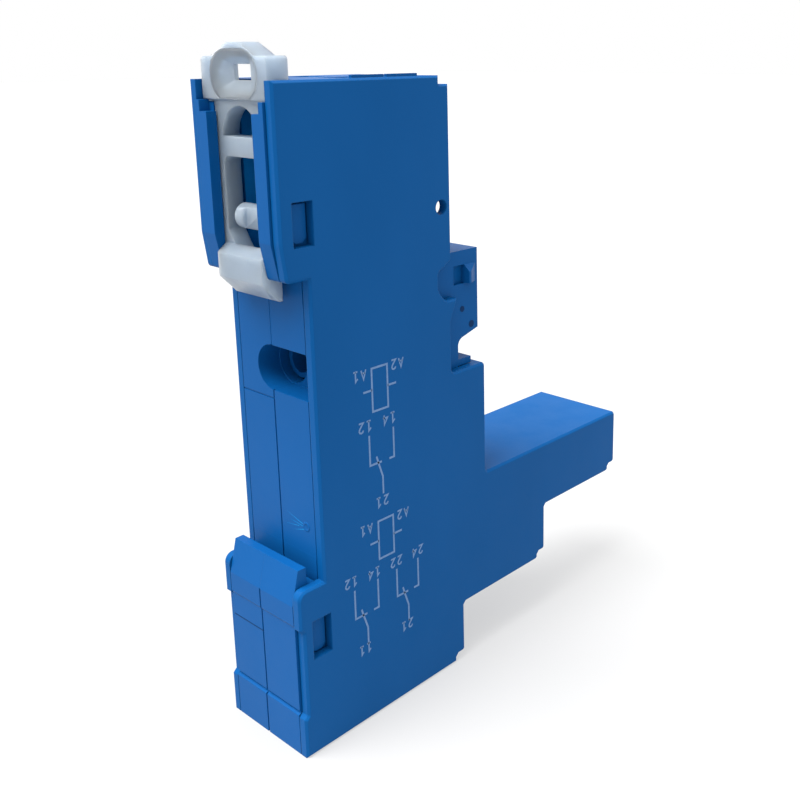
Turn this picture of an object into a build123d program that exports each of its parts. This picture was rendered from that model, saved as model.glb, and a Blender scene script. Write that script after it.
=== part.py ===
from build123d import *
from math import atan2, degrees
import os

# Relay socket for a 35 mm rail: an outer casing slid over two core halves, a sprung rail clip,
# and eight screw terminals whose contacts take the pins of a plug-in relay.
# Millimetres. X runs across the 15.8 mm width, Y points to the rail, Z points up.
# The shapes are drawn from the rear plane (Y 0) and the base (Z 0), and moved at the end
# so that the origin is the middle of the face that seats on the rail.

# Overall sizes
width = 15.8
height = 83.4
side_wall = 1.3
casing_wall = 1.2
core_gap = 0.1
past = 1.0
half_width = width / 2
cavity_half = half_width - side_wall
core_half = cavity_half - core_gap
parting_x = 0.2
edge_bevel = 0.3
corner_bevel = 0.35
seam_width = 0.24
seam_depth = 0.3
witness_width = 0.2
witness_depth = 0.1
hook_witness_z = 14.7
recess_witness_z = 44.9

# Levels, each the Y of its front face, with the undersides and ledges between them
top_front = -27.5
arm_front = -66.2
mid_front = -47.5
low_front = -29.0
seat_front = -33.9
arm_underside = 17.4
mid_underside = 8.8
arm_top = 27.5
seat_ledge = 44.0
front_step = 1.7
underside_step = 1.1

# Rail recess, hook and the jaws that guide the rail clip
rail_width = 35.0
rail_play = 3.8
recess_depth = 4.0
seat_relief = 0.1
seat_margin = 0.3
hook_top = 25.1
hook_lip = 2.3
hook_slot_bottom = 22.3
hook_side_top = 22.9
shoulder_round = 1.2
hook_base_length = 9.4
hook_groove = 5.9
hook_step = 17.8
hook_relief = 0.5
hook_face_relief = 0.15
hook_tip_slope = 1.1
hook_tip_height = 4.4
hook_edge = 0.3
jaw_bottom = 61.0
jaw_slope = 4.5
jaw_tuck = 0.9
jaw_setback = 0.3
jaw_round = 0.6
jaw_blend = 2.0
lip_reach = 1.35
lip_inner = 4.35
channel_half = 4.8
channel_floor = 4.4
channel_pocket = 6.2
channel_pocket_half = 4.1
channel_pocket_bottom = 62.5
jaw_stop_drop = 2.6
lip_drop = 1.0
ear_rise = 0.3
lip_ear_wall = 0.8

# Relay seat: a creepage groove parts the coil block from the contact face
block_top = 60.2
block_bottom = 48.9
groove_floor = -29.9
groove_slope = 1.1
groove_round = 1.2
ledge_lip_front = -32.4
ledge_lip = 1.0
rib_height = 0.35
rib_width = 0.5
rib_inset = 0.6
ribs = [(-17.0, -12.0), (-22.5, -17.5)]
notch_ledge = -27.3
notch_front = -28.6
notch_turn = -26.3
notch_rear = -25.1
notch_foot = 51.2
notch_floor = 54.2
notch_knee = 55.8
notch_shoulder = 58.2
notch_top = 59.5
notch_round = 1.5
notch_ease = 0.6
coil_row = 56.0
contact_rows = {"top": coil_row, "low": 41.0, "mid": 36.0, "arm": 31.0}
pin_slot_width = 1.4
pin_slot_height = 3.0
bump_y = -32.4
bump_z = 56.9
bump_length = 2.2
bump_height = 2.6
bump_rise = 0.9
bump_ridge_shift = 0.8
bump_ridge_drop = 0.4
bump_ridge_length = 0.4
bump_ridge_height = 1.6
bump_pocket = 2.1
bump_pocket_depth = 0.6

# Retaining clip bay and its pivot holes
bay_drop = 11.4
bay_floor = -23.2
pivot_y = -25.7
pivot_rise = 0.7
pivot_radius = 1.0

# Panel screw: a sleeve in the left half, opening into a slot in the rail recess
slot_centre_z = 48.9
slot_radius = 2.9
slot_depth = 3.2
well_radius = 2.75
sleeve_bore = 1.7
sleeve_wall = 0.65
sleeve_gap = 0.05
sleeve_rear = -8.3
sleeve_groove_depth = 2.2
screw_head_recess = 3.0

# Snap windows in the casing, with the latch tongues of the core halves inside them
window_length = 2.9
window_height = 5.2
windows = {"upper": (-2.1, 64.9), "lower": (-1.8, 13.2)}
tongue_margin = 0.35
tongue_height = 0.45
tongue_bevel = 0.6

# Terminals, measured inward from each front face
lane_inset = 2.85
axis_height = 4.9
head_recess = 0.6
head_height = 2.0
head_radius = 2.0
head_clearance = 0.3
shank_radius = 1.5
shank_clearance = 0.1
thread_clearance = 0.05
seat_gap = 0.05
slot_cut = 0.7
slot_cut_depth = 0.9
cross_reach = 1.2
clamp_width = 5.2
clamp_height = 4.2
clamp_wall = 1.0
clamp_front_wall = 1.2
clamp_inside = 6.4
clamp_travel = 3.0
clamp_clearance = 0.1
pocket_front = 4.4
bar_thickness = 1.0
bar_half_width = 1.35
bar_offset = 2.2
wire_hole = 3.6
wire_funnel = 4.9

# Contact strips
strip_thickness = 0.8
strip_width = 1.5
strip_inset = 0.6
strip_clearance = 0.15
fork_root = -26.6
coil_fork_setback = 2.8
fork_tip = -32.0
fork_height = 2.4
fork_leaf = 0.45
fork_open = 1.0
fork_pinch = 0.35
fork_flare = 0.75
fork_bend = 0.7
mid_run_z = 17.0
mid_rise_y = -22.5

# Rail clip
clip_thickness = 2.3
clip_gap = 0.1
tab_side_gap = 0.4
tab_rear = -0.95
tab_front = -3.9
tab_corner = 0.5
dish_width = 9.2
dish_height = 6.0
dish_slope = 0.95
dish_rise = 0.5
web_rear = -2.3
web_thickness = 0.5
tab_shoulder_rise = 2.6
tab_top_rise = 4.1
tab_shoulder_inner = 4.1
tab_top_half = 1.1
tab_hole_width = 3.1
tab_hole_height = 1.8
tab_hole_rise = 0.8
arch_radius = 3.5
arch_margin = 0.3
bar_height = 2.3
frame_window_half = 3.6
window_round = 1.0
finger_share = 0.49
finger_radius = 1.5
finger_setback = 1.1
finger_inset = 0.2
finger_end = 2.3
finger_end_bevel = 0.7
finger_flat = 0.9
finger_flat_end = 0.2
vee_top_share = 0.36
vee_bottom_share = 0.15
vee_half = 1.6
nose_rear = -0.15
nose_top = 63.4
nose_slope = 1.1
nose_crease = 60.5
nose_tip = 58.2
nose_tip_y = -2.4
nose_back_y = -2.9
nose_round = 1.5

# Derived places
lane_x = cavity_half - lane_inset
strip_outer = cavity_half - strip_inset
lip_ear_inner = core_half - lip_ear_wall
tab_half = cavity_half - tab_side_gap
clip_half = channel_half - clip_gap
nose_half = lip_inner - clip_gap
jaw_stop = height - jaw_stop_drop
lip_top = jaw_stop - lip_drop
lip_ear_top = jaw_stop + ear_rise
tab_bottom = jaw_stop + clip_gap
tab_shoulder = height + tab_shoulder_rise
tab_top = height + tab_top_rise
dish_z = height + dish_rise
tab_hole_z = height + tab_hole_rise
arch_bottom = jaw_stop - arch_margin - arch_radius
bar_bottom = arch_bottom - bar_height
bay_top = height - bay_drop
pivot_z = (bay_top + block_top) / 2 + pivot_rise
sleeve_outer = sleeve_bore + sleeve_wall
slot_floor = -recess_depth - slot_depth
nose_shelf = hook_slot_bottom + rail_width + rail_play
rail_centre = (hook_slot_bottom + nose_shelf) / 2
finger_z = nose_shelf + (bar_bottom - nose_shelf) * finger_share
vee_top = nose_shelf + (bar_bottom - nose_shelf) * vee_top_share
vee_bottom = nose_shelf + (bar_bottom - nose_shelf) * vee_bottom_share
to_rail_seat = Location((0, recess_depth, -rail_centre))
terminal_levels = {
    "top": {"front": top_front, "entry": height, "wire": 1},
    "arm": {"front": arm_front, "entry": arm_underside, "wire": -1},
    "mid": {"front": mid_front, "entry": mid_underside, "wire": -1},
    "low": {"front": low_front, "entry": 0.0, "wire": -1},
}
terminals = {
    "a1": ("top", -1), "a2": ("top", 1),
    "14": ("arm", -1), "24": ("arm", 1),
    "11": ("mid", -1), "21": ("mid", 1),
    "12": ("low", -1), "22": ("low", 1),
}
clamp_front = pocket_front + clamp_clearance + clamp_travel
clamp_back = clamp_front + clamp_front_wall + clamp_inside + clamp_wall
pocket_back = clamp_back + clamp_clearance
bar_front = clamp_front + clamp_front_wall + bar_offset
bar_back = bar_front + bar_thickness
wire_middle = (bar_back + clamp_front + clamp_front_wall + clamp_inside) / 2


# Shape helpers
def block(x0, x1, y0, y1, z0, z1):
    size = (abs(x1 - x0), abs(y1 - y0), abs(z1 - z0))
    return Pos((x0 + x1) / 2, (y0 + y1) / 2, (z0 + z1) / 2) * Box(*size)


def rod_y(x, z, y0, y1, radius):
    return Pos(x, (y0 + y1) / 2, z) * Rot(90, 0, 0) * Cylinder(radius, abs(y1 - y0))


def rod_x(y, z, x0, x1, radius):
    return Pos((x0 + x1) / 2, y, z) * Rot(0, 90, 0) * Cylinder(radius, abs(x1 - x0))


def side_profile(points, x0, x1, rounds=(), bevels=()):
    """A prism across the width from (y, z) points; rounds and bevels list (points, size) to soften."""
    face = make_face(Polyline(*points, close=True))
    for soften, places in ((fillet, rounds), (chamfer, bevels)):
        for corners, size in places:
            near = [v for v in face.vertices() for y, z in corners if abs(v.X - y) + abs(v.Y - z) < 0.01]
            face = soften(near, size)
    return extrude(Plane.YZ.offset(x0) * face, x1 - x0)


def plan_profile(points, z0, z1):
    """A prism along Z from (x, y) points."""
    return extrude(Plane.XY.offset(z0) * make_face(Polyline(*points, close=True)), z1 - z0)


def rear_profile(points, y0, y1):
    """A prism along Y from (x, z) points, from y0 back to y1."""
    plane = Plane(origin=(0, y0, 0), x_dir=(1, 0, 0), z_dir=(0, -1, 0))
    return extrude(plane * make_face(Polyline(*points, close=True)), y0 - y1)


def axis_z(level):
    return terminal_levels[level]["entry"] - terminal_levels[level]["wire"] * axis_height


def inward(level, depth):
    return terminal_levels[level]["front"] + depth


# Casing: one moulding that covers the sides, the top and every front face
def casing_outline():
    low_step = low_front + front_step
    mid_step = mid_front + front_step
    arm_step = arm_front + front_step
    top_step = top_front + front_step
    return [
        (0, 0), (low_step, 0), (low_step, underside_step), (low_front, underside_step),
        (low_front, mid_underside), (mid_step, mid_underside),
        (mid_step, mid_underside + underside_step), (mid_front, mid_underside + underside_step),
        (mid_front, arm_underside), (arm_step, arm_underside),
        (arm_step, arm_underside + underside_step), (arm_front, arm_underside + underside_step),
        (arm_front, arm_top), (seat_front, arm_top), (seat_front, seat_ledge),
        (notch_ledge, seat_ledge), (notch_ledge, notch_foot), (notch_front, notch_floor),
        (notch_turn, notch_floor), (notch_rear, notch_knee), (notch_rear, notch_shoulder),
        (top_front, notch_top),
        (top_front, height - underside_step), (top_step, height - underside_step),
        (top_step, height), (-jaw_setback, height), (-jaw_setback, jaw_bottom + jaw_slope),
        (-jaw_tuck, jaw_bottom), (-recess_depth, jaw_bottom), (-recess_depth, hook_side_top),
        (0, hook_side_top), (0, hook_step), (-hook_relief, hook_step - hook_relief),
        (-hook_relief, hook_groove), (0, hook_groove - hook_relief),
    ]


def casing_cavity():
    wall = casing_wall
    return [
        (past, -past), (-hook_base_length - core_gap, -past), (-hook_base_length - core_gap, wall),
        (low_front + wall, wall), (low_front + wall, mid_underside + wall),
        (mid_front + wall, mid_underside + wall), (mid_front + wall, arm_underside + wall),
        (arm_front + wall, arm_underside + wall), (arm_front + wall, arm_top - wall),
        (seat_front + wall, arm_top - wall), (seat_front + wall, seat_ledge - wall),
        (groove_floor - core_gap, seat_ledge - wall), (groove_floor - core_gap, bay_top),
        (top_front + wall, bay_top), (top_front + wall, height - wall),
        (-recess_depth - core_gap, height - wall), (-recess_depth - core_gap, height + past),
        (past, height + past),
    ]


def wire_entry(level, side):
    """Funnel through the casing wall, and the straight hole on into the clamp pocket."""
    entry = terminal_levels[level]["entry"]
    wire = terminal_levels[level]["wire"]
    middle = inward(level, wire_middle)
    mouth = Plane(origin=(side * lane_x, middle, entry), z_dir=(0, 0, -wire))
    slope = degrees(atan2((wire_funnel - wire_hole) / 2, casing_wall))
    funnel = extrude(mouth * Rectangle(wire_funnel, wire_funnel), casing_wall, taper=slope)
    inner = axis_z(level) + wire * clamp_height / 2
    reach = wire_hole / 2
    hole = block(side * lane_x - reach, side * lane_x + reach, middle - reach, middle + reach,
                 entry - wire * casing_wall, inner)
    return funnel + hole


def make_casing():
    outline = casing_outline()
    square = {(0, 0), (0, hook_side_top), (-recess_depth, hook_side_top), (-recess_depth, jaw_bottom),
              (-jaw_tuck, jaw_bottom)}
    soft = [p for p in outline[2:16] if p not in square]
    rounds = [
        ([(0, hook_side_top)], shoulder_round), ([(-jaw_tuck, jaw_bottom)], jaw_round),
        ([(-jaw_setback, jaw_bottom + jaw_slope)], jaw_blend),
        ([(notch_turn, notch_floor), (notch_rear, notch_knee)], notch_round),
        ([(notch_rear, notch_shoulder), (top_front, notch_top)], notch_ease),
    ]
    body = side_profile(outline, -half_width, half_width, rounds, [(soft, corner_bevel)])
    sides = body.faces().filter_by(Axis.X).sort_by(Axis.X)
    rims = sides[0].edges() + sides[-1].edges()
    body = chamfer(rims, edge_bevel)
    for front, rear in ribs:
        left = rib_inset - half_width
        body += block(left, left + rib_width, front, rear, height - edge_bevel, height + rib_height)
    body -= side_profile(casing_cavity(), -cavity_half, cavity_half)
    body -= rod_x(pivot_y, pivot_z, -width, width, pivot_radius)
    for y, z in windows.values():
        body -= block(-width, width, y - window_length, y, z, z + window_height)
    for level, side in terminals.values():
        front = inward(level, 0)
        body -= rod_y(side * lane_x, axis_z(level), front - past, front + casing_wall + core_gap,
                      head_radius + head_clearance)
        body -= wire_entry(level, side)
        if level != "top":
            row = contact_rows[level]
            body -= block(side * lane_x - pin_slot_width / 2, side * lane_x + pin_slot_width / 2,
                          seat_front - past, seat_front + casing_wall + core_gap,
                          row - pin_slot_height / 2, row + pin_slot_height / 2)
    return body


# Core: two halves that hold the contacts and form the rail hook, the jaws and the coil block
def core_outline():
    wall = casing_wall + core_gap
    relieved = recess_depth + seat_relief
    seat_bottom = hook_top + seat_margin
    seat_top = nose_tip - seat_margin
    return [
        (0, 0), (-hook_base_length, 0), (-hook_base_length, wall), (low_front + wall, wall),
        (low_front + wall, mid_underside + wall), (mid_front + wall, mid_underside + wall),
        (mid_front + wall, arm_underside + wall), (arm_front + wall, arm_underside + wall),
        (arm_front + wall, arm_top - wall), (seat_front + wall, arm_top - wall),
        (seat_front + wall, seat_ledge - wall), (groove_floor, seat_ledge - wall),
        (groove_floor, seat_ledge + core_gap), (ledge_lip_front, seat_ledge + core_gap),
        (ledge_lip_front, seat_ledge + ledge_lip), (groove_floor, seat_ledge + ledge_lip),
        (groove_floor, block_bottom - groove_slope), (seat_front, block_bottom),
        (seat_front, block_top), (bay_floor, block_top), (bay_floor, bay_top + core_gap),
        (top_front + wall, bay_top + core_gap), (top_front + wall, height - wall),
        (-recess_depth - 2 * core_gap, height - wall), (-recess_depth - 2 * core_gap, jaw_stop),
        (-lip_reach, jaw_stop), (-lip_reach, lip_ear_top), (0, lip_ear_top), (0, jaw_bottom + jaw_slope),
        (-jaw_tuck, jaw_bottom), (-relieved, jaw_bottom), (-relieved, seat_top), (-recess_depth, seat_top),
        (-recess_depth, seat_bottom), (-relieved, seat_bottom), (-relieved, hook_slot_bottom),
        (-hook_lip, hook_slot_bottom), (-hook_lip, hook_top), (-hook_tip_slope, hook_top),
        (0, hook_top - hook_tip_height), (0, hook_step + hook_edge), (-hook_face_relief, hook_step),
        (-hook_face_relief, hook_groove + hook_edge), (-hook_relief, hook_groove),
        (0, hook_groove - hook_edge),
    ]


def fork_start(level):
    return fork_root + (coil_fork_setback if level == "top" else 0)


def strip_path(level):
    """Corners of a contact strip in (y, z), from its clamp bar to its fork."""
    start_y = inward(level, (bar_front + bar_back) / 2)
    wire = terminal_levels[level]["wire"]
    edge = axis_z(level) - wire * (clamp_height / 2 + clamp_clearance)
    row = contact_rows[level]
    start = edge - wire * (strip_width / 2 + clamp_clearance)
    root = fork_start(level)
    if level == "arm":
        return [(start_y, start), (root, start), (root, row)]
    if level == "mid":
        return [(start_y, mid_run_z), (mid_rise_y, mid_run_z), (mid_rise_y, row), (root, row)]
    return [(start_y, start), (start_y, row), (root, row)]


def strip_run(level, side, x_inner, x_outer, margin):
    """The flat run of a strip, or with a margin the channel that holds it."""
    path = strip_path(level)
    reach = strip_width / 2 + margin
    run = None
    for (y0, z0), (y1, z1) in zip(path, path[1:]):
        piece = block(side * x_inner, side * x_outer, min(y0, y1) - reach, max(y0, y1) + reach,
                      min(z0, z1) - reach, max(z0, z1) + reach)
        run = piece if run is None else run + piece
    return run


def bar_block(level, side, margin, x_outer):
    """The bar inside the clamp and its link out to the strip."""
    wire = terminal_levels[level]["wire"]
    far = axis_z(level) + wire * (clamp_height / 2 - margin)
    link = strip_path(level)[0][1]
    y0 = inward(level, bar_front) - margin
    y1 = inward(level, bar_back) + margin
    inner = lane_x - bar_half_width - margin
    outer = lane_x + bar_half_width + margin
    edge = axis_z(level) - wire * (clamp_height / 2 + clamp_clearance)
    low, high = sorted((far, link))
    bar = block(side * inner, side * outer, y0, y1, low, high)
    low, high = sorted((edge, link - wire * (strip_width / 2 + margin)))
    return bar + block(side * inner, side * x_outer, y0, y1, low, high)


def terminal_cuts(level, side):
    """Everything a terminal needs cut out of its core half, open to the side it is put in from."""
    z = axis_z(level)
    x = side * lane_x
    pocket_x = lane_x - clamp_width / 2 - clamp_clearance
    head_reach = head_radius + head_clearance
    shank_reach = shank_radius + shank_clearance
    cuts = block(side * (lane_x - head_reach), side * width, inward(level, 0),
                 inward(level, head_recess + head_height), z - head_reach, z + head_reach)
    cuts += block(side * (lane_x - shank_reach), side * width, inward(level, 0), inward(level, pocket_front),
                  z - shank_reach, z + shank_reach)
    cuts += block(side * pocket_x, side * width, inward(level, pocket_front), inward(level, pocket_back),
                  z - clamp_height / 2 - clamp_clearance, z + clamp_height / 2 + clamp_clearance)
    cuts += wire_entry(level, side)
    cuts += strip_run(level, side, strip_outer - strip_thickness - strip_clearance, width, strip_clearance)
    link = strip_path(level)[0][1]
    wire = terminal_levels[level]["wire"]
    edge = z - wire * clamp_height / 2
    low, high = sorted((edge, link - wire * (strip_width / 2 + strip_clearance)))
    cuts += block(side * (lane_x - bar_half_width - strip_clearance), side * width,
                  inward(level, bar_front) - strip_clearance, inward(level, bar_back) + strip_clearance,
                  low, high)
    row = contact_rows[level]
    root = fork_start(level)
    fork_half = fork_open + fork_leaf + strip_clearance
    fork_z = fork_height / 2 + strip_clearance
    cuts += block(x - fork_half, x + fork_half, fork_tip - strip_clearance, root, row - fork_z, row + fork_z)
    cuts += block(side * (lane_x - fork_half), side * width, root - strip_thickness / 2 - strip_clearance,
                  root + strip_width / 2 + strip_clearance, row - fork_z, row + fork_z)
    cuts += block(x - pin_slot_width / 2, x + pin_slot_width / 2, seat_front - past, fork_tip,
                  row - pin_slot_height / 2, row + pin_slot_height / 2)
    return cuts


def channel_cut():
    """The guide for the rail clip: a slot under two lips, open at the top."""
    top = height + past
    foot = jaw_bottom - past
    mouth = block(-lip_inner, lip_inner, -lip_reach, past, foot, top)
    mouth += block(-lip_ear_inner, lip_ear_inner, -lip_reach, past, lip_top, top)
    guide = block(-channel_half, channel_half, -channel_floor, -lip_reach, foot, top)
    pocket = block(-channel_pocket_half, channel_pocket_half, -channel_pocket, -channel_floor,
                   channel_pocket_bottom, arch_bottom + arch_radius)
    return mouth + guide + pocket


def panel_slot():
    mouth = -recess_depth + past
    slot = rod_y(parting_x, slot_centre_z, mouth, slot_floor, slot_radius)
    return slot + block(-width, parting_x, mouth, slot_floor, slot_centre_z - slot_radius,
                        slot_centre_z + slot_radius)


def screw_sleeve_cut():
    """Bore for the panel screw, its head recess at the front and the well round the sleeve at the rear."""
    well_end = sleeve_rear - sleeve_groove_depth
    cut = rod_y(parting_x, slot_centre_z, slot_floor + past, seat_front - past, sleeve_bore)
    cut += rod_y(parting_x, slot_centre_z, groove_floor, seat_front - past, screw_head_recess)
    well = rod_y(parting_x, slot_centre_z, slot_floor + past, well_end, well_radius)
    return cut + (well - rod_y(parting_x, slot_centre_z, sleeve_rear, well_end, sleeve_outer))


def latch_tongues(side):
    tongues = []
    for y, z in windows.values():
        y0 = y - window_length + tongue_margin
        y1 = y - tongue_margin
        z0 = z + tongue_margin
        z1 = z + window_height - tongue_margin
        outer = core_half + tongue_height
        tongue = block(side * (core_half - past), side * outer, y0, y1, z0, z1)
        tongue = chamfer(tongue.edges().filter_by(Axis.X).sort_by(Axis.Z)[:2], tongue_bevel)
        tongues.append(tongue)
    return tongues


def seat_bump(side):
    """A low wedge on the side of the coil block that holds the relay's retainer."""
    base = Plane(origin=(side * core_half, bump_y, bump_z), x_dir=(0, 1, 0), z_dir=(side, 0, 0))
    crest = (side * (core_half + bump_rise), bump_y + bump_ridge_shift, bump_z - bump_ridge_drop)
    ridge = Plane(origin=crest, x_dir=(0, 1, 0), z_dir=(side, 0, 0))
    return loft([base * Rectangle(bump_length, bump_height),
                 ridge * Rectangle(bump_ridge_length, bump_ridge_height)])


def surface_marks(side):
    """Grooves in a core half: the parting seam, the mould's witness lines and the wedge's pocket."""
    low = parting_x - seam_width / 2
    high = parting_x + seam_width / 2
    marks = block(low, high, -seam_depth, past, -past, hook_top - hook_tip_height)
    marks += block(low, high, -recess_depth - seam_depth, -hook_lip, hook_slot_bottom, jaw_bottom)
    rear_of_block = bump_y + bump_length / 2
    marks += block(side * (core_half - bump_pocket_depth), side * width, rear_of_block,
                   rear_of_block + bump_pocket, bump_z - bump_height / 2, bump_z + bump_height / 2)
    half = witness_width / 2
    if side > 0:
        marks += block(parting_x, width, -witness_depth, past, hook_witness_z - half, hook_witness_z + half)
        marks += block(parting_x, width, -recess_depth - witness_depth, past - recess_depth,
                       recess_witness_z - half, recess_witness_z + half)
    return marks


def make_core(side):
    left, right = sorted((parting_x, side * core_half))
    foot_of_block = [(groove_floor, block_bottom - groove_slope)]
    rounds = [(foot_of_block, groove_round), ([(-jaw_tuck, jaw_bottom)], jaw_round)]
    body = side_profile(core_outline(), left, right, rounds)
    body -= channel_cut()
    body -= panel_slot()
    body -= surface_marks(side)
    if side < 0:
        body += rod_y(parting_x, slot_centre_z, sleeve_rear, groove_floor, sleeve_outer)
    else:
        body -= rod_y(parting_x, slot_centre_z, sleeve_rear, groove_floor, sleeve_outer + sleeve_gap)
    body -= screw_sleeve_cut()
    for level, terminal_side in terminals.values():
        if terminal_side == side:
            body -= terminal_cuts(level, side)
    for tongue in latch_tongues(side):
        body += tongue
    return body + seat_bump(side)


# Terminals
def make_screw(level, side):
    x = side * lane_x
    z = axis_z(level)
    top = inward(level, head_recess)
    seat = inward(level, head_recess + head_height) - seat_gap
    head = rod_y(x, z, top, seat, head_radius)
    slot = slot_cut / 2
    head -= block(x - head_radius, x + head_radius, top - past, top + slot_cut_depth, z - slot, z + slot)
    head -= block(x - slot, x + slot, top - past, top + slot_cut_depth, z - cross_reach, z + cross_reach)
    return head + rod_y(x, z, seat, inward(level, bar_front) - seat_gap, shank_radius)


def make_clamp(level, side):
    x = side * lane_x
    z = axis_z(level)
    reach = clamp_width / 2
    tall = clamp_height / 2
    cage = block(x - reach, x + reach, inward(level, clamp_front), inward(level, clamp_back),
                 z - tall, z + tall)
    inside = clamp_front + clamp_front_wall
    cage -= block(x - reach + clamp_wall, x + reach - clamp_wall, inward(level, inside),
                  inward(level, inside + clamp_inside), z - tall - past, z + tall + past)
    return cage - rod_y(x, z, inward(level, clamp_front) - past, inward(level, inside) + past,
                        shank_radius + thread_clearance)


def fork_leaf_shape(level, side, direction):
    """One spring leaf of the fork that grips a relay pin."""
    x = side * lane_x
    root = fork_start(level)
    bend = root + (fork_tip - root) * fork_bend
    line = [(fork_open, root), (fork_pinch, bend), (fork_flare, fork_tip)]
    near = [(x + direction * gap, y) for gap, y in line]
    far = [(x + direction * (gap + fork_leaf), y) for gap, y in reversed(line)]
    row = contact_rows[level]
    return plan_profile(near + far, row - fork_height / 2, row + fork_height / 2)


def make_contact(level, side):
    row = contact_rows[level]
    contact = strip_run(level, side, strip_outer - strip_thickness, strip_outer, 0)
    contact += bar_block(level, side, 0, strip_outer)
    root = fork_start(level)
    half = strip_thickness / 2
    contact += block(side * (lane_x - fork_open - fork_leaf), side * strip_outer, root - half, root + half,
                     row - fork_height / 2, row + fork_height / 2)
    for direction in (-1, 1):
        contact += fork_leaf_shape(level, side, direction)
    return contact


# Rail clip: one springy moulding with a pull tab, a window frame, a finger and a nose
def tab_dish(y, floor):
    """An oblong dish with round ends and sloping sides in a face of the tab."""
    depth = abs(floor - y)
    rim = dish_height / 2
    foot = rim - dish_slope * depth
    reach = dish_width / 2 - rim
    corners = [(y, dish_z - rim), (floor, dish_z - foot), (floor, dish_z + foot), (y, dish_z + rim)]
    dish = side_profile(corners, -reach, reach)
    inwards = Plane(origin=(0, (y + floor) / 2, dish_z), x_dir=(1, 0, 0), z_dir=(0, (floor - y) / depth, 0))
    for end in (-reach, reach):
        dish += inwards * Pos(end, 0, 0) * Cone(rim, foot, depth)
    return dish


def pull_tab():
    """Thick tab with a dish in each face and a hole for a screwdriver tip in the web between them."""
    half = [(tab_half, tab_bottom), (tab_half, tab_shoulder), (tab_shoulder_inner, tab_shoulder),
            (tab_top_half, tab_top)]
    outline = half + [(-x, z) for x, z in reversed(half)]
    tab = rear_profile(outline, tab_rear, tab_front)
    corners = tab.edges().filter_by(Axis.Y)
    tab = fillet(corners, tab_corner)
    ear = lip_ear_top + clip_gap
    tab -= block(-tab_half, tab_half, -lip_reach - clip_gap, past, tab_bottom - past, ear)
    tab -= tab_dish(tab_rear, web_rear)
    tab -= tab_dish(tab_front, web_rear - web_thickness)
    reach = tab_hole_width / 2
    rise = tab_hole_height / 2
    return tab - block(-reach, reach, tab_front - past, past, tab_hole_z - rise, tab_hole_z + rise)


def make_rail_clip():
    rear = -lip_reach - clip_gap
    front = rear - clip_thickness
    plate = block(-clip_half, clip_half, rear, front, nose_shelf, tab_bottom)
    plate += pull_tab()
    arch = rod_y(0, arch_bottom, front - past, rear + past, arch_radius)
    arch &= block(-arch_radius, arch_radius, front - past, rear + past,
                  arch_bottom, arch_bottom + arch_radius)
    plate -= arch
    window = block(-frame_window_half, frame_window_half, front - past, rear + past, finger_z, bar_bottom)
    plate -= fillet(window.edges().filter_by(Axis.Y).sort_by(Axis.Z)[-2:], window_round)
    vee = [(frame_window_half, finger_z), (frame_window_half, vee_top), (vee_half, vee_bottom)]
    vee += [(-x, z) for x, z in reversed(vee)]
    plate -= rear_profile(vee, rear + past, front - past)
    finger_start = -clip_half + finger_inset
    finger_y = rear - finger_setback
    finger = rod_x(finger_y, finger_z, finger_start, finger_end, finger_radius)
    finger = chamfer(finger.edges().filter_by(GeomType.CIRCLE).sort_by(Axis.X)[-1:], finger_end_bevel)
    finger -= block(finger_start, finger_flat_end, finger_y + finger_flat, finger_y + finger_radius,
                    finger_z - finger_radius, finger_z + finger_radius)
    nose = side_profile([(rear, nose_top + nose_slope), (nose_rear, nose_top), (nose_rear, nose_crease),
                         (nose_tip_y, nose_tip), (nose_back_y, nose_tip), (nose_back_y, nose_shelf),
                         (rear - past, nose_shelf)], -nose_half, nose_half)
    bounds = block(-nose_half, nose_half, front - past, past, nose_tip, nose_top + nose_slope + past)
    nose &= fillet(bounds.edges().filter_by(Axis.Y).sort_by(Axis.Z)[:2], nose_round)
    return plate + finger + nose


def save(name, shape):
    moved = to_rail_seat * shape
    moved.label = name
    export_step(moved, f"parts/{name}.step")


def main():
    os.makedirs("parts", exist_ok=True)
    save("casing", make_casing())
    save("core_left", make_core(-1))
    save("core_right", make_core(1))
    save("rail_clip", make_rail_clip())
    for name, (level, side) in terminals.items():
        save(f"screw_{name}", make_screw(level, side))
        save(f"clamp_{name}", make_clamp(level, side))
        save(f"contact_{name}", make_contact(level, side))


main()
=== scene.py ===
import bpy
import bmesh
import math
from mathutils import Matrix, Vector


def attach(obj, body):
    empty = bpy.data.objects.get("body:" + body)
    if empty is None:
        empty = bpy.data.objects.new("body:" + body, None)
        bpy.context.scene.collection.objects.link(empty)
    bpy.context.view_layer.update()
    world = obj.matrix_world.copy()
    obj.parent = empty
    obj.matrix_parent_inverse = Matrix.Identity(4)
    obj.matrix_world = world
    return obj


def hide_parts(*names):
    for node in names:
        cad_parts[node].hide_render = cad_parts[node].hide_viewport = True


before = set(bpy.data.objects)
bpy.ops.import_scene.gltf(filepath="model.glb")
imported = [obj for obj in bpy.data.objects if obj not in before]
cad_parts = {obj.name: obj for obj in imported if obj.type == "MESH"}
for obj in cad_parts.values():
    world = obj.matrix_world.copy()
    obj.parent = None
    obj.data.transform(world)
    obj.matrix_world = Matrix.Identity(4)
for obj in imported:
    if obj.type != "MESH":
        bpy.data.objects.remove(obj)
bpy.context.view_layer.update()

MM = 0.001
RECESS = 4.0
RAIL_CENTRE = 41.7
SIDE = -7.9
CORE_HALF = 6.45
LANE = 3.75


def at(x, y, z):
    """A point of the socket drawing, in millimetres, as a place in the scene."""
    return Vector((x, y + RECESS, z - RAIL_CENTRE)) * MM


# Node helpers
def tree_of(name):
    mat = bpy.data.materials.new(name)
    mat.use_nodes = True
    tree = mat.node_tree
    return mat, tree, tree.nodes["Principled BSDF"]


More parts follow.
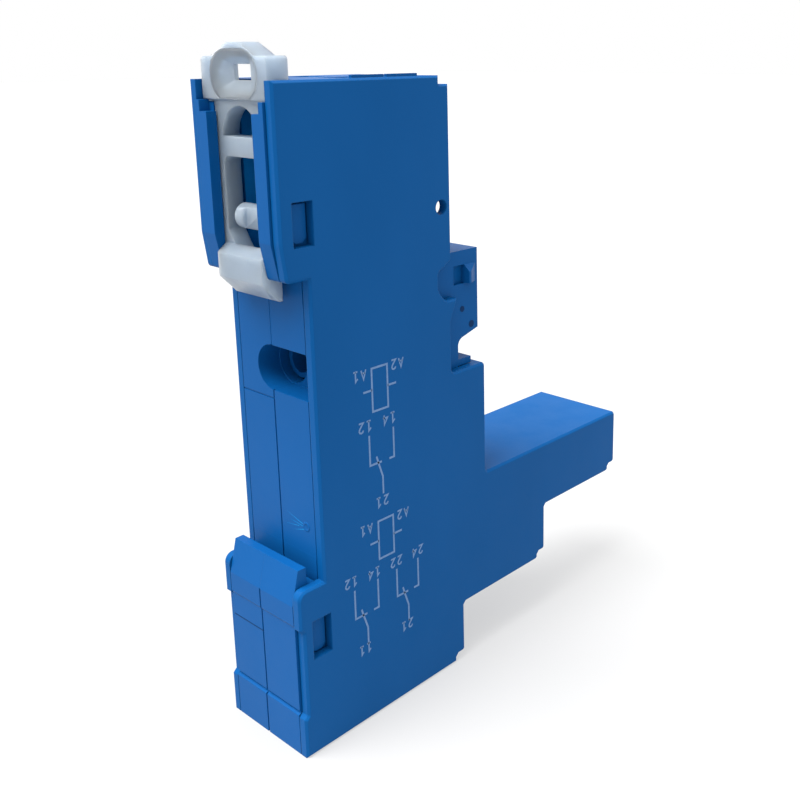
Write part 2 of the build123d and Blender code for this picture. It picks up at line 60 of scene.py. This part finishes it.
def add(tree, kind, **values):
    node = tree.nodes.new(kind)
    for key, value in values.items():
        setattr(node, key, value)
    return node


def noise(tree, coords, scale, detail=3.0, rough=0.55, stretch=None):
    source = coords
    if stretch:
        mapping = add(tree, "ShaderNodeMapping")
        mapping.inputs["Scale"].default_value = stretch
        tree.links.new(coords, mapping.inputs["Vector"])
        source = mapping.outputs["Vector"]
    node = add(tree, "ShaderNodeTexNoise")
    node.inputs["Scale"].default_value = scale
    node.inputs["Detail"].default_value = detail
    node.inputs["Roughness"].default_value = rough
    tree.links.new(source, node.inputs["Vector"])
    return node.outputs["Fac"]


def spread(tree, value, low, high, from_low=0.3, from_high=0.7):
    node = add(tree, "ShaderNodeMapRange")
    node.inputs["From Min"].default_value = from_low
    node.inputs["From Max"].default_value = from_high
    node.inputs["To Min"].default_value = low
    node.inputs["To Max"].default_value = high
    tree.links.new(value, node.inputs["Value"])
    return node.outputs["Result"]


def blend_colours(tree, factor, dark, light):
    node = add(tree, "ShaderNodeMix", data_type="RGBA")
    for socket in node.inputs:
        if socket.name == "A" and socket.type == "RGBA":
            socket.default_value = (*dark, 1)
        if socket.name == "B" and socket.type == "RGBA":
            socket.default_value = (*light, 1)
    tree.links.new(factor, node.inputs["Factor"])
    return [s for s in node.outputs if s.type == "RGBA"][0]


def bumped(tree, shader, heights, edge=0):
    """Chain (height, strength, distance) bumps into the shader's normal.

    Where edge isn't 0, it is the radius in metres by which sharp edges are softened.
    """
    normal = None
    if edge:
        soft = add(tree, "ShaderNodeBevel", samples=6)
        soft.inputs["Radius"].default_value = edge
        normal = soft.outputs["Normal"]
    for height, strength, distance in heights:
        bump = add(tree, "ShaderNodeBump")
        bump.inputs["Strength"].default_value = strength
        bump.inputs["Distance"].default_value = distance
        tree.links.new(height, bump.inputs["Height"])
        if normal is not None:
            tree.links.new(normal, bump.inputs["Normal"])
        normal = bump.outputs["Normal"]
    tree.links.new(normal, shader.inputs["Normal"])


def object_coords(tree):
    return add(tree, "ShaderNodeTexCoord").outputs["Object"]


def moulded(name, dark, light, rough, texture=0.25, edge=0.00022):
    """Moulded plastic: flow shading, a fine spark texture and a few faint rub marks."""
    mat, tree, shader = tree_of(name)
    coords = object_coords(tree)
    flow = noise(tree, coords, 55, 3, 0.5, (1, 1, 0.45))
    tint = blend_colours(tree, spread(tree, flow, 0, 1), dark, light)
    tree.links.new(tint, shader.inputs["Base Color"])
    sheen = noise(tree, coords, 260, 4)
    tree.links.new(spread(tree, sheen, rough - 0.05, rough + 0.07), shader.inputs["Roughness"])
    shader.inputs["Specular IOR Level"].default_value = 0.06
    spark = noise(tree, coords, 5200, 2, 0.6)
    sink = noise(tree, coords, 90, 2, 0.5)
    rub = noise(tree, coords, 900, 3, 0.7, (1, 0.12, 1.6))
    bumped(tree, shader, [(spark, texture, 0.00004), (sink, 0.05, 0.0004), (rub, 0.05, 0.00006)], edge)
    return mat


def nylon(name):
    """Natural nylon: cloudy white, a little light comes through."""
    mat, tree, shader = tree_of(name)
    coords = object_coords(tree)
    cloud = noise(tree, coords, 140, 4, 0.6)
    tint = blend_colours(tree, spread(tree, cloud, 0, 1), (0.32, 0.40, 0.49), (0.39, 0.47, 0.56))
    tree.links.new(tint, shader.inputs["Base Color"])
    tree.links.new(spread(tree, noise(tree, coords, 420, 3), 0.28, 0.42), shader.inputs["Roughness"])
    shader.inputs["Subsurface Weight"].default_value = 0.9
    shader.inputs["Subsurface Radius"].default_value = (1.0, 1.05, 1.15)
    shader.inputs["Subsurface Scale"].default_value = 0.006
    shader.inputs["Transmission Weight"].default_value = 0.45
    shader.inputs["IOR"].default_value = 1.5
    cloudy = [(noise(tree, coords, 3600, 2), 0.15, 0.00003), (noise(tree, coords, 160, 2), 0.1, 0.0003)]
    bumped(tree, shader, cloudy, 0.0002)
    return mat


def metal(name, dark, light, rough, grain=(1, 1, 12)):
    """Plated or rolled metal with a directional grain and small stains."""
    mat, tree, shader = tree_of(name)
    coords = object_coords(tree)
    stain = noise(tree, coords, 700, 4, 0.6)
    tint = blend_colours(tree, spread(tree, stain, 0, 1), dark, light)
    tree.links.new(tint, shader.inputs["Base Color"])
    shader.inputs["Metallic"].default_value = 1.0
    brushed = noise(tree, coords, 1500, 3, 0.6, grain)
    tree.links.new(spread(tree, brushed, rough - 0.08, rough + 0.12), shader.inputs["Roughness"])
    bumped(tree, shader, [(brushed, 0.2, 0.00002), (noise(tree, coords, 4000, 2), 0.1, 0.00002)])
    return mat


def ink(name):
    """Thin pale print, uneven where it took less well."""
    mat, tree, shader = tree_of(name)
    coords = object_coords(tree)
    patchy = noise(tree, coords, 2600, 4, 0.7)
    tint = blend_colours(tree, spread(tree, patchy, 0, 1), (0.07, 0.16, 0.34), (0.12, 0.22, 0.42))
    tree.links.new(tint, shader.inputs["Base Color"])
    tree.links.new(spread(tree, patchy, 0.45, 0.6), shader.inputs["Roughness"])
    bumped(tree, shader, [(noise(tree, coords, 5200, 2), 0.2, 0.00003)])
    return mat


def floor_paint(name):
    mat, tree, shader = tree_of(name)
    coords = object_coords(tree)
    cloud = spread(tree, noise(tree, coords, 6, 2), 0, 1)
    tint = blend_colours(tree, cloud, (0.18, 0.18, 0.18), (0.20, 0.20, 0.20))
    tree.links.new(tint, shader.inputs["Base Color"])
    shader.inputs["Roughness"].default_value = 0.7
    shader.inputs["Emission Color"].default_value = (1, 1, 1, 1)
    shader.inputs["Emission Strength"].default_value = 0.53
    return mat


casing_blue = moulded("casing_blue", (0.0012, 0.069, 0.232), (0.0024, 0.077, 0.256), 0.40)
core_blue = moulded("core_blue", (0.0016, 0.068, 0.232), (0.0030, 0.076, 0.258), 0.36, 0.18, 0.00008)
core_mark = moulded("core_mark", (0.0016, 0.068, 0.232), (0.0030, 0.076, 0.258), 0.36, 0.18, 0)
# A lighter blue than the core: painted light on the bay's floor and side, where light comes through the
# clip into the pocket; the same colour also serves for the scuffs beside the gate mark
painted_light_and_scuff_blue = moulded("painted_light_and_scuff_blue", (0.0030, 0.170, 0.430), (0.0045, 0.190, 0.470), 0.30, 0.18, 0)
# A dark blue: painted shade, for the shade in the hook's witness groove and in the block's two dimples
painted_shade_blue = moulded("painted_shade_blue", (0.0004, 0.022, 0.085), (0.0008, 0.028, 0.100), 0.45, 0.18, 0)
clip_white = nylon("clip_white")
screw_zinc = metal("screw_zinc", (0.52, 0.52, 0.50), (0.68, 0.68, 0.66), 0.30)
clamp_zinc = metal("clamp_zinc", (0.46, 0.46, 0.45), (0.62, 0.62, 0.60), 0.38, (12, 1, 1))
brass = metal("contact_brass", (0.62, 0.42, 0.16), (0.78, 0.57, 0.26), 0.30, (1, 10, 1))
print_ink = ink("print_ink")


def dress(node, mat):
    obj = bpy.data.objects[node]
    for slot in obj.material_slots:
        slot.material = mat
    if not obj.material_slots:
        obj.data.materials.append(mat)


terminals = {
    "a1": (-27.5, 78.5, -1), "a2": (-27.5, 78.5, 1), "14": (-66.2, 22.3, -1), "24": (-66.2, 22.3, 1),
    "11": (-47.5, 13.7, -1), "21": (-47.5, 13.7, 1), "12": (-29.0, 4.9, -1), "22": (-29.0, 4.9, 1),
}
dress("casing", casing_blue)
dress("core_left", core_blue)
dress("core_right", core_blue)
dress("rail_clip", clip_white)
for number in terminals:
    dress("clamp_" + number, clamp_zinc)
    dress("contact_" + number, brass)


# Mesh helpers
def mesh_of(name, verts, faces):
    mesh = bpy.data.meshes.new(name)
    mesh.from_pydata([tuple(v) for v in verts], [], faces)
    bm = bmesh.new()
    bm.from_mesh(mesh)
    bmesh.ops.recalc_face_normals(bm, faces=bm.faces)
    bm.to_mesh(mesh)
    bm.free()
    return mesh


def piece(name, verts, faces, mat, smooth=False):
    mesh = mesh_of(name, verts, faces)
    mesh.materials.append(mat)
    for poly in mesh.polygons:
        poly.use_smooth = smooth
    obj = bpy.data.objects.new(name, mesh)
    bpy.context.scene.collection.objects.link(obj)
    return obj


# Terminal screws: a low dome with a cross and slot recess, on a threaded shank
HEAD_R = 2.0
HEAD_TOP = 0.6
HEAD_END = 2.55
SHANK_R = 1.5
SHANK_END = 10.85
PITCH = 0.5
AROUND = 40


def lathe(profile, around):
    """Closed surface of revolution about Y from (radius, depth) pairs that start and end on the axis."""
    verts = []
    rings = []
    for radius, depth in profile:
        if radius < 1e-6:
            rings.append([len(verts)])
            verts.append((0, depth, 0))
            continue
        ring = []
        for i in range(around):
            a = 2 * math.pi * i / around
            ring.append(len(verts))
            verts.append((radius * math.cos(a), depth, radius * math.sin(a)))
        rings.append(ring)
    faces = []
    for one, two in zip(rings, rings[1:]):
        for i in range(around):
            j = (i + 1) % around
            if len(one) == 1:
                faces.append((one[0], two[i], two[j]))
            elif len(two) == 1:
                faces.append((one[i], two[0], one[j]))
            else:
                faces.append((one[i], two[i], two[j], one[j]))
    return verts, faces


def box_mesh(x0, x1, y0, y1, z0, z1):
    verts = [(x, y, z) for x in (x0, x1) for y in (y0, y1) for z in (z0, z1)]
    faces = [(0, 1, 3, 2), (4, 6, 7, 5), (0, 4, 5, 1), (2, 3, 7, 6), (0, 2, 6, 4), (1, 5, 7, 3)]
    return verts, faces


def combined(mesh, others, operation):
    """The mesh after a boolean of this kind with each of the other meshes."""
    base = bpy.data.objects.new("boolean_base", mesh)
    bpy.context.scene.collection.objects.link(base)
    tools = []
    for other in others:
        tool = bpy.data.objects.new("boolean_tool", other)
        bpy.context.scene.collection.objects.link(tool)
        mod = base.modifiers.new("boolean", "BOOLEAN")
        mod.operation = operation
        mod.solver = "EXACT"
        mod.object = tool
        tools.append(tool)
    bpy.context.view_layer.update()
    result = bpy.data.meshes.new_from_object(base.evaluated_get(bpy.context.evaluated_depsgraph_get()))
    for extra in tools + [base]:
        bpy.data.objects.remove(extra)
    return result


def screw_head():
    edge = 0.25
    profile = [(0, HEAD_TOP), (HEAD_R * 0.5, HEAD_TOP + 0.03), (HEAD_R - edge, HEAD_TOP + 0.12)]
    for i in range(1, 5):
        a = math.pi / 2 * i / 4
        profile.append((HEAD_R - edge + edge * math.sin(a), HEAD_TOP + 0.12 + edge * (1 - math.cos(a))))
    profile += [(HEAD_R, HEAD_END - 0.1), (HEAD_R - 0.1, HEAD_END), (0, HEAD_END)]
    head = mesh_of("head", *lathe(profile, AROUND))
    top = HEAD_TOP - 0.5
    slot = mesh_of("slot", *box_mesh(-HEAD_R - 0.5, HEAD_R + 0.5, top, HEAD_TOP + 0.85, -0.3, 0.3))
    cross = mesh_of("cross", *box_mesh(-0.32, 0.32, top, HEAD_TOP + 1.1, -1.2, 1.2))
    return combined(head, [slot, cross], "DIFFERENCE")


def thread():
    """Helical thread surface with capped ends, as vertices and faces."""
    steps = 6
    rows = int((SHANK_END - HEAD_END) / PITCH * steps)
    verts = []
    for k in range(rows + 1):
        depth = HEAD_END + (SHANK_END - HEAD_END) * k / rows
        for i in range(AROUND):
            a = 2 * math.pi * i / AROUND
            phase = (depth / PITCH - i / AROUND) % 1.0
            ridge = min(1.0, max(0.0, 1.6 - abs(phase - 0.5) * 4))
            near_end = min(1.0, (SHANK_END - depth) / 0.4, (depth - HEAD_END) / 0.2 + 0.2)
            radius = (SHANK_R - 0.24) + 0.235 * ridge * max(0.0, near_end)
            verts.append((radius * math.cos(a), depth, radius * math.sin(a)))
    faces = []
    for k in range(rows):
        for i in range(AROUND):
            j = (i + 1) % AROUND
            faces.append((k * AROUND + i, (k + 1) * AROUND + i, (k + 1) * AROUND + j, k * AROUND + j))
    faces.append(tuple(range(AROUND)))
    faces.append(tuple(rows * AROUND + i for i in reversed(range(AROUND))))
    return verts, faces


def head_angle(number, side):
    """The angle in degrees at which a screw was left, another one at each terminal."""
    return 99 + 23 * int(number[1]) + 31 * side


head_mesh = screw_head()
head_verts = [v.co.copy() for v in head_mesh.vertices]
head_faces = [tuple(p.vertices) for p in head_mesh.polygons]
thread_verts, thread_faces = thread()
for number, (front, z, side) in terminals.items():
    turn = Matrix.Rotation(math.radians(head_angle(number, side)), 4, "Y")
    verts = []
    for v in head_verts + [Vector(t) for t in thread_verts]:
        p = turn @ Vector(v)
        verts.append(at(side * LANE + p.x, front + p.y, z + p.z))
    start = len(head_verts)
    faces = head_faces + [tuple(i + start for i in f) for f in thread_faces]
    screw = piece("threaded_screw_" + number, verts, faces, screw_zinc)
    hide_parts("screw_" + number)
    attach(screw, "terminal_screw_" + number)


# Print on the side: coil and change-over symbols with their terminal numbers, upside down
LINE = 0.27
INK_HEIGHT = 0.02


def stroke(points, width=LINE):
    """Flat strip along (y, z) points on the side face, mitred at the corners."""
    pts = [Vector(p) for p in points]
    closed = (pts[0] - pts[-1]).length < 1e-6
    if closed:
        pts = pts[:-1]
    left = []
    right = []
    n = len(pts)
    for i, p in enumerate(pts):
        before = (p - pts[i - 1]).normalized() if closed or i > 0 else None
        after = (pts[(i + 1) % n] - p).normalized() if closed or i < n - 1 else None
        one = before or after
        two = after or before
        a = Vector((-one.y, one.x))
        b = Vector((-two.y, two.x))
        mid = (a + b).normalized()
        reach = width / 2 / max(0.4, mid.dot(a))
        left.append(p + mid * reach)
        right.append(p - mid * reach)
    verts = []
    for x in (SIDE + 0.004, SIDE - INK_HEIGHT):
        for q in left + right:
            verts.append((x, q.x, q.y))
    faces = []
    spans = range(n if closed else n - 1)
    for i in spans:
        j = (i + 1) % n
        faces.append((i, j, n + j, n + i))
        top = 2 * n
        faces.append((top + i, top + n + i, top + n + j, top + j))
        faces.append((i, top + i, top + j, j))
        faces.append((n + i, n + j, top + n + j, top + n + i))
    if not closed:
        faces.append((0, n, 3 * n, 2 * n))
        faces.append((n - 1, 3 * n - 1, 4 * n - 1, 2 * n - 1))
    return verts, faces


GLYPHS = {
    "1": [[(0.06, 0.74), (0.34, 1), (0.34, 0)], [(0.08, 0), (0.60, 0)]],
    "2": [[(0.04, 0.76), (0.14, 0.94), (0.31, 1), (0.48, 0.94), (0.57, 0.77), (0.50, 0.56),
           (0.04, 0), (0.60, 0)]],
    "4": [[(0.46, 0), (0.46, 1), (0.02, 0.30), (0.64, 0.30)]],
    "A": [[(0, 0), (0.31, 1), (0.62, 0)], [(0.11, 0.33), (0.51, 0.33)]],
}


def letters(text, y_left, z_bottom, height):
    """Characters read from behind the socket turned over: they run towards +Y with their tops down."""
    pen = 0.22
    tall = height - pen
    shapes = []
    for i, character in enumerate(text):
        start = y_left + pen / 2 + i * 0.86 * height
        for line in GLYPHS[character]:
            points = [(start + x * tall, z_bottom + height + 0.06 - y * tall) for x, y in line]
            shapes.append(stroke(points, pen))
    return shapes


def printed(name, shapes):
    verts = []
    faces = []
    for v, f in shapes:
        start = len(verts)
        verts += [at(*p) for p in v]
        faces += [tuple(i + start for i in face) for face in f]
    obj = piece(name, verts, faces, print_ink)
    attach(obj, "socket")
    return obj


def coil(y, z0, z1, lead_z):
    reach = 1.3
    return [stroke([(y - reach, z0), (y - reach, z1), (y + reach, z1), (y + reach, z0), (y - reach, z0)]),
            stroke([(y + reach, lead_z), (y + reach + 1.45, lead_z)]),
            stroke([(y - reach, lead_z), (y - reach - 1.45, lead_z)])]


def change_over(y, z_top, closed_way, open_way):
    """A change-over contact: the moving arm at y, its closed side and its open side."""
    foot = z_top - 4.05
    toward = 1 if closed_way > y else -1
    return [stroke([(closed_way, z_top), (closed_way, foot), (closed_way - toward * 1.95, foot)]),
            stroke([(open_way, z_top), (open_way, foot), (open_way + toward * 0.85, foot)]),
            stroke([(y + 0.95, foot + 0.9), (y + 0.68, foot), (y, foot - 2.05), (y, foot - 4.45)])]


upper = coil(-14.12, 42.6, 48.25, 45.45) + change_over(-14.1, 39.65, -12.05, -16.15)
upper += letters("A1", -12.0, 46.9, 1.45) + letters("A2", -18.3, 47.0, 1.45)
upper += letters("12", -12.6, 40.05, 1.5) + letters("14", -16.65, 40.05, 1.5)
upper += letters("21", -15.0, 29.25, 1.45)
printed("wiring_print_upper", upper)
lower = coil(-14.32, 22.3, 27.6, 24.9) + change_over(-10.62, 19.65, -8.65, -12.6)
lower += change_over(-17.92, 19.65, -15.95, -19.85)
lower += letters("A1", -12.1, 26.35, 1.4) + letters("A2", -18.45, 26.3, 1.4)
lower += letters("12", -9.2, 20.1, 1.4) + letters("14", -13.1, 19.85, 1.4)
lower += letters("22", -17.0, 19.85, 1.4) + letters("24", -20.9, 19.85, 1.4)
lower += letters("11", -11.15, 9.75, 1.4) + letters("21", -18.65, 9.75, 1.4)
printed("wiring_print_lower", lower)


# Small marks of the mould on the core halves: fills in the core's own blue, lighter sheets of painted
# light in the bay, and dark pieces of painted shade in the witness groove and the dimples
def slab(name, x0, x1, y0, y1, z0, z1, mat):
    verts, faces = box_mesh(x0, x1, y0, y1, z0, z1)
    obj = piece(name, [at(*v) for v in verts], faces, mat)
    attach(obj, "socket")
    return obj


SEAM = 0.2
SEAM_HALF = 0.117
seam_low = SEAM - SEAM_HALF
seam_high = SEAM + SEAM_HALF
slab("seam_flash", seam_low, seam_high, -4.28, -3.96, 51.9, 57.8, core_mark)
slab("seam_recess", seam_low, seam_high, -4.28, -4.13, 25.5, 45.9, core_mark)
slab("seam_hook", seam_low, seam_high, -0.29, -0.12, 18.3, 20.6, core_mark)
slab("seam_foot", seam_low, seam_high, -0.29, -0.14, 0.1, 5.5, core_mark)
for place, z0, z1 in (("top", 57.6, 60.9), ("low", 22.4, 25.7)):
    slab("recess_band_%s_right" % place, -CORE_HALF, seam_low, -4.08, -3.985, z0, z1, core_mark)
    slab("recess_band_%s_left" % place, seam_high, CORE_HALF, -4.08, -3.985, z0, z1, core_mark)
# Thin lighter-blue sheets on the bay's floor and inner side: painted light, standing in for the light
# that comes through the clip
slab("bay_floor", -4.05, 4.05, -6.19, -6.13, 62.6, 80.0, painted_light_and_scuff_blue)
slab("bay_side", 4.03, 4.09, -6.13, -4.45, 62.6, 80.0, painted_light_and_scuff_blue)
# A dark strip along the hook at z 14.7: painted shade of its witness groove
slab("hook_witness", SEAM, CORE_HALF, -0.17, -0.135, 14.62, 14.78, painted_shade_blue)

# Two dark discs on the block's side: painted shade of its small dimples
DIMPLE_SHADE_SIDES = 24
DIMPLE_SHADE_HEIGHT = 0.08
for number, (y, z, radius) in enumerate(((-30.8, 52.05, 0.42), (-32.6, 49.6, 0.5)), 1):
    verts = []
    for x in (-CORE_HALF, -CORE_HALF - DIMPLE_SHADE_HEIGHT):
        for i in range(DIMPLE_SHADE_SIDES):
            a = 2 * math.pi * i / DIMPLE_SHADE_SIDES
            verts.append(at(x, y + radius * math.cos(a), z + radius * math.sin(a)))
    faces = [tuple(range(DIMPLE_SHADE_SIDES)), tuple(range(DIMPLE_SHADE_SIDES, 2 * DIMPLE_SHADE_SIDES))]
    for i in range(DIMPLE_SHADE_SIDES):
        j = (i + 1) % DIMPLE_SHADE_SIDES
        faces.append((i, j, DIMPLE_SHADE_SIDES + j, DIMPLE_SHADE_SIDES + i))
    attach(piece("block_mark_%d" % number, verts, faces, painted_shade_blue), "socket")


# The small gate mark low in the rail recess, with the scuffs beside it
GATE_X = -4.84
GATE_Z = 29.3
gate_profile = [(0, -0.02), (0.28, -0.02), (0.36, 0.05), (0.50, 0.07),
                (0.62, 0.03), (0.66, -0.03), (0, -0.03)]
gate = mesh_of("gate", *lathe(gate_profile, 28))
turned = [at(GATE_X + v.co.x, -RECESS + v.co.y, GATE_Z + v.co.z) for v in gate.vertices]
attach(piece("gate_mark", turned, [tuple(p.vertices) for p in gate.polygons], core_mark, True), "socket")

scuffs = ((-4.1, 29.5, -1.0, 30.3, 0.12), (-4.1, 29.2, -1.6, 29.4, 0.10),
          (-4.3, 28.8, -2.0, 28.1, 0.12), (-3.4, 29.0, -0.6, 28.6, 0.08))
scuff_faces = [(0, 1, 2), (3, 5, 4), (0, 3, 4, 1), (1, 4, 5, 2), (2, 5, 3, 0)]
for number, (x0, z0, x1, z1, wide) in enumerate(scuffs, 1):
    along = Vector((x1 - x0, z1 - z0)).normalized()
    across = Vector((-along.y, along.x)) * wide / 2
    ends = [(x0 + across.x, z0 + across.y), (x0 - across.x, z0 - across.y), (x1, z1)]
    verts = [at(x, y, z) for y in (-4.02, -3.99) for x, z in ends]
    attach(piece("scuff_%d" % number, verts, scuff_faces, painted_light_and_scuff_blue), "socket")


# Eased slope of the pull tab's dish, from its rim to the hole
DISH_Z = 83.9
DISH_HALF = 1.6
RIM_R = 2.9
FOOT_R = 1.74
HOLE_Z = 84.2
HOLE_HALF_X = 1.55
HOLE_HALF_Z = 0.9
PER_EDGE = 14
EAR_TOP = 81.23
SHARP_FROM = 22


def on_rim(x, z, radius):
    """Where the ray from the hole's middle through (x, z) meets the oblong of this end radius."""
    near = 0.0
    far = 8.0
    for _ in range(30):
        t = (near + far) / 2
        px = x * t
        pz = HOLE_Z - DISH_Z + z * t
        outside = math.hypot(max(abs(px) - DISH_HALF, 0), pz) > radius
        near, far = (near, t) if outside else (t, far)
    return x * near, HOLE_Z + z * near


def dish_slope():
    hole = []
    corners = [(HOLE_HALF_X, -HOLE_HALF_Z), (HOLE_HALF_X, HOLE_HALF_Z),
               (-HOLE_HALF_X, HOLE_HALF_Z), (-HOLE_HALF_X, -HOLE_HALF_Z)]
    for (x0, z0), (x1, z1) in zip(corners, corners[1:] + corners[:1]):
        hole += [(x0 + (x1 - x0) * i / PER_EDGE, z0 + (z1 - z0) * i / PER_EDGE)
                 for i in range(PER_EDGE)]
    rim = [on_rim(x, z, RIM_R) for x, z in hole]
    foot = [on_rim(x, z, FOOT_R) for x, z in hole]
    steps = 9
    rings = []
    for k in range(steps + 1):
        t = k / steps
        depth = -0.955 - 1.345 * t ** 1.25
        rings.append([(rx + (x - rx) * t, depth, max(EAR_TOP, rz + (HOLE_Z + z - rz) * t))
                      for (rx, rz), (x, z) in zip(rim, hole)])
    rings.append([(x, -2.33, HOLE_Z + z) for x, z in hole])
    rings.append([(x, -2.33, z) for x, z in foot])
    verts = [p for ring in rings for p in ring]
    n = len(hole)
    faces = []
    for k in range(len(rings)):
        one = k * n
        two = (k + 1) % len(rings) * n
        faces += [(one + i, one + (i + 1) % n, two + (i + 1) % n, two + i) for i in range(n)]
    return mesh_of("dish_slope", [at(*v) for v in verts], faces)


def nose_corner(x0, x1):
    """The square lower corner of the clip's nose, from x0 to x1."""
    section = ((-0.837, 59.8), (-2.402, 58.202), (-2.898, 58.202), (-2.898, 59.8))
    verts = [at(x, y, z) for x in (x0, x1) for y, z in section]
    faces = [(0, 1, 2, 3), (4, 5, 6, 7)]
    faces += [(i, (i + 1) % 4, 4 + (i + 1) % 4, 4 + i) for i in range(4)]
    return mesh_of("nose_corner", verts, faces)


def joined(name, node, extras, mat):
    """A copy of a node with the extra meshes joined to it, shown in its place."""
    mesh = combined(bpy.data.objects[node].data.copy(), extras, "UNION")
    mesh.materials.clear()
    mesh.materials.append(mat)
    for poly in mesh.polygons:
        poly.material_index = 0
        poly.use_smooth = True
    mesh.set_sharp_from_angle(angle=math.radians(SHARP_FROM))
    obj = bpy.data.objects.new(name, mesh)
    bpy.context.scene.collection.objects.link(obj)
    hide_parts(node)
    return obj


clip_parts = [dish_slope(), nose_corner(-4.248, -2.6), nose_corner(2.6, 4.248)]
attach(joined("sprung_clip", "rail_clip", clip_parts, clip_white), "clip")


# Floor and light
FLOOR_HALF = 3000
corners = [at(x * FLOOR_HALF, y * FLOOR_HALF, 0) for x, y in ((-1, -1), (1, -1), (1, 1), (-1, 1))]
ground = piece("floor", corners, [(0, 1, 2, 3)], floor_paint("floor_paint"))

world = bpy.data.worlds.new("studio")
world.use_nodes = True
world.node_tree.nodes["Background"].inputs["Color"].default_value = (1.0, 1.0, 1.0, 1)
world.node_tree.nodes["Background"].inputs["Strength"].default_value = 1.0
bpy.context.scene.world = world
bpy.context.scene.view_settings.view_transform = "Standard"

for name, energy, spread_angle, direction in (("softbox", 5.4, 45, (-0.15, -0.40, -0.90)),
                                              ("front_fill", 0.9, 50, (0.10, 0.35, -0.93))):
    lamp = bpy.data.lights.new(name, "SUN")
    lamp.energy = energy
    lamp.angle = math.radians(spread_angle)
    holder = bpy.data.objects.new(name, lamp)
    holder.rotation_euler = Vector(direction).to_track_quat("-Z", "Y").to_euler()
    bpy.context.scene.collection.objects.link(holder)

# The camera's place in metres and its angles in degrees, solved from the photograph's edges
VIEW_PLACE = (-0.09665, 0.06868, 0.04462)
VIEW_ANGLES = (76.4226, 0.4451, -138.3710)
camera = bpy.data.cameras.new("camera")
camera.sensor_width = 36
camera.lens = 44.66
camera.shift_x = -0.1114
camera.shift_y = -0.1370
camera.clip_start = 0.005
camera.clip_end = 20
viewer = bpy.data.objects.new("camera", camera)
viewer.location = VIEW_PLACE
viewer.rotation_euler = [math.radians(angle) for angle in VIEW_ANGLES]
bpy.context.scene.collection.objects.link(viewer)
bpy.context.scene.camera = viewer
